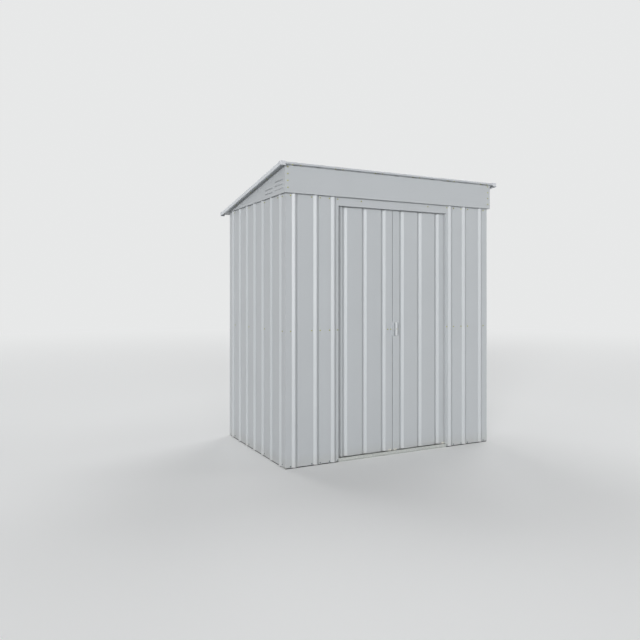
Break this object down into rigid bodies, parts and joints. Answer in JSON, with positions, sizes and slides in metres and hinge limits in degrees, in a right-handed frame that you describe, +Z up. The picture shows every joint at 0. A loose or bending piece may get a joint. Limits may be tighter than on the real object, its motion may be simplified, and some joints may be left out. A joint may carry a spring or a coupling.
{
  "type": "metal tool shed",
  "caption": "Small pent-roof shed of rib-pressed painted sheet steel with double sliding doors, louvred gable panels and an open inside",
  "frame": {"origin": "on the ground under the middle of the whole shed, roof overhangs included", "axes": "+Z up, the doors face -Y, +X to the right seen from the front"},
  "size_m": [1.7904, 1.2196, 1.9719],
  "materials": {
    "painted_steel": "satin pale grey coil-coated steel",
    "trim_paint": "satin pale grey coil-coated steel",
    "zinc_steel": "bare zinc-coated steel",
    "cap_plastic": "moulded pale grey plastic",
    "glide_nylon": "off-white nylon"
  },
  "bodies": {
    "shed": {"front_left_corner_sheet": "painted_steel", "front_right_corner_sheet": "painted_steel", "front_left_jamb_sheet": "painted_steel", "front_right_jamb_sheet": "painted_steel", "door_header": "painted_steel", "left_wall_front_sheet": "painted_steel", "left_wall_rear_sheet": "painted_steel", "right_wall_front_sheet": "painted_steel", "right_wall_rear_sheet": "painted_steel", "rear_wall_left_sheet": "painted_steel", "rear_wall_right_sheet": "painted_steel", "left_floor_rail": "zinc_steel", "right_floor_rail": "zinc_steel", "rear_floor_rail": "zinc_steel", "door_track": "zinc_steel", "left_mid_rail": "zinc_steel", "right_mid_rail": "zinc_steel", "left_top_rail": "zinc_steel", "right_top_rail": "zinc_steel", "front_mid_rails": "zinc_steel", "front_top_rail": "zinc_steel", "rear_mid_rail": "zinc_steel", "rear_top_rail": "zinc_steel", "door_top_track": "zinc_steel", "front_fascia": "painted_steel", "left_gable_panel": "painted_steel", "right_gable_panel": "painted_steel", "roof_left_sheet": "painted_steel", "roof_middle_sheet": "painted_steel", "roof_right_sheet": "painted_steel", "roof_purlin": "zinc_steel", "roof_front_trim": "trim_paint", "roof_rear_trim": "trim_paint", "roof_left_trim": "trim_paint", "roof_right_trim": "trim_paint", "roof_corner_caps": "cap_plastic"},
    "left_door": {"left_door_sheet": "painted_steel", "left_door_bottom_rail": "zinc_steel", "left_door_top_rail": "zinc_steel", "left_door_runners": "glide_nylon", "left_door_glides": "glide_nylon", "left_door_handle": "painted_steel"},
    "right_door": {"right_door_sheet": "painted_steel", "right_door_bottom_rail": "zinc_steel", "right_door_top_rail": "zinc_steel", "right_door_runners": "glide_nylon", "right_door_glides": "glide_nylon", "right_door_handle": "painted_steel"}
  },
  "joints": [
    {"name": "left_door_slide", "type": "slide", "parent": "shed", "child": "left_door", "axis": [-1, 0, 0], "range_m": [0, 0.34]},
    {"name": "right_door_slide", "type": "slide", "parent": "shed", "child": "right_door", "axis": [1, 0, 0], "range_m": [0, 0.34]}
  ]
}
